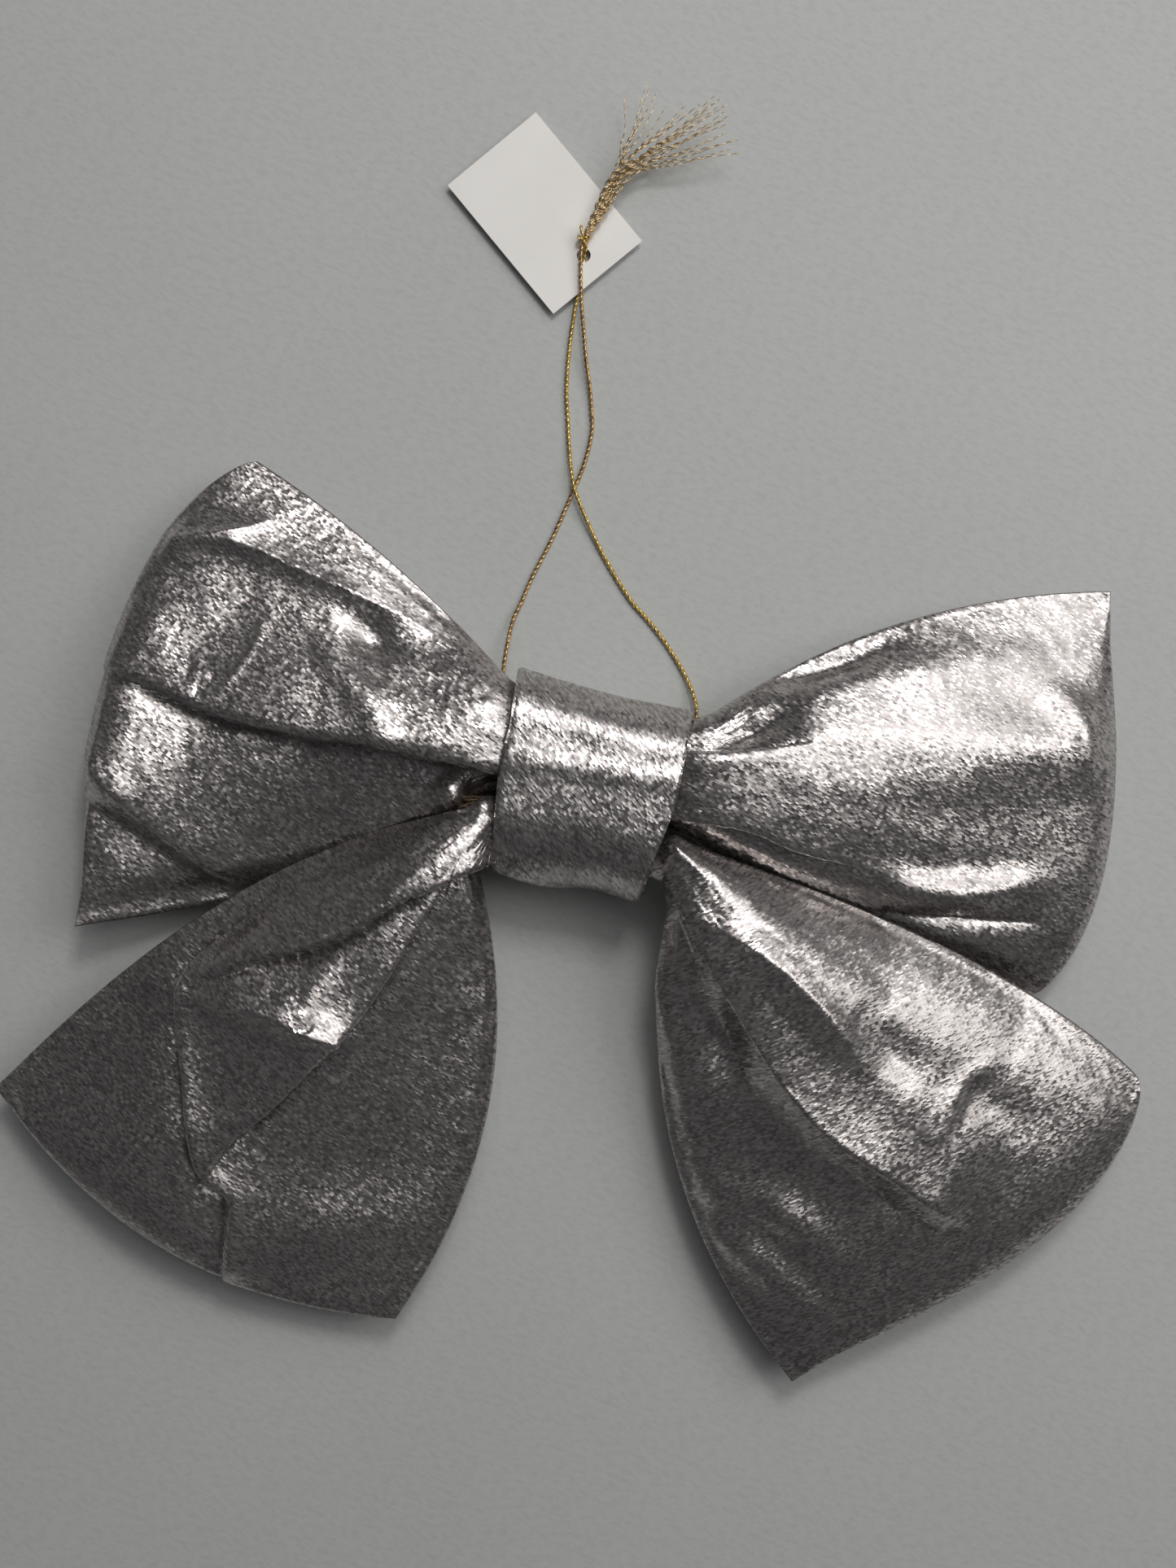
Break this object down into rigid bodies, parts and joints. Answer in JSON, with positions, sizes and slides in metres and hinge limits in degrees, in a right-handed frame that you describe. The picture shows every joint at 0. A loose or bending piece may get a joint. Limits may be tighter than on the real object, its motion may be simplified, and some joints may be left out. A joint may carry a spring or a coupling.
{
  "type": "gift bow",
  "caption": "Padded satin gift bow with four stuffed wings, a wrapped knot band and a blank hang tag on a thin metallic cord.",
  "frame": {"origin": "centre of the knot band's flat back, on the surface that the bow lies on", "axes": "+X to the bow's right, +Y up the bow towards the hang tag, +Z out of the bow's front"},
  "size_m": [0.2564, 0.2962, 0.0336],
  "materials": {
    "satin": "satin",
    "wadding": "matte",
    "thread": "matte",
    "cord": "satin",
    "card": "matte"
  },
  "bodies": {
    "bow": {"upper_left_cover": "satin", "upper_right_cover": "satin", "lower_left_cover": "satin", "lower_right_cover": "satin", "upper_left_wadding": "wadding", "upper_right_wadding": "wadding", "lower_left_wadding": "wadding", "lower_right_wadding": "wadding", "knot_wadding": "wadding", "upper_gathering_thread": "thread", "lower_gathering_thread": "thread", "knot_stitches": "thread", "knot_band": "satin", "cord_in_knot": "cord"},
    "hang_loop": {"cord_left_strand": "cord", "cord_right_strand": "cord", "cord_knot": "cord", "cord_tassel": "cord"},
    "tag": {"hang_tag": "card"}
  },
  "joints": [
    {"name": "loop_lift", "type": "hinge", "parent": "bow", "child": "hang_loop", "pos_m": [-0.0184, 0.0333, 0.0025], "axis": [0.9383, -0.3459, 0], "range_deg": [0, 90]},
    {"name": "tag_swivel", "type": "hinge", "parent": "hang_loop", "child": "tag", "pos_m": [-0.001, 0.122, 0.0017], "axis": [0, 0, 1], "range_deg": [-75, 75]}
  ]
}
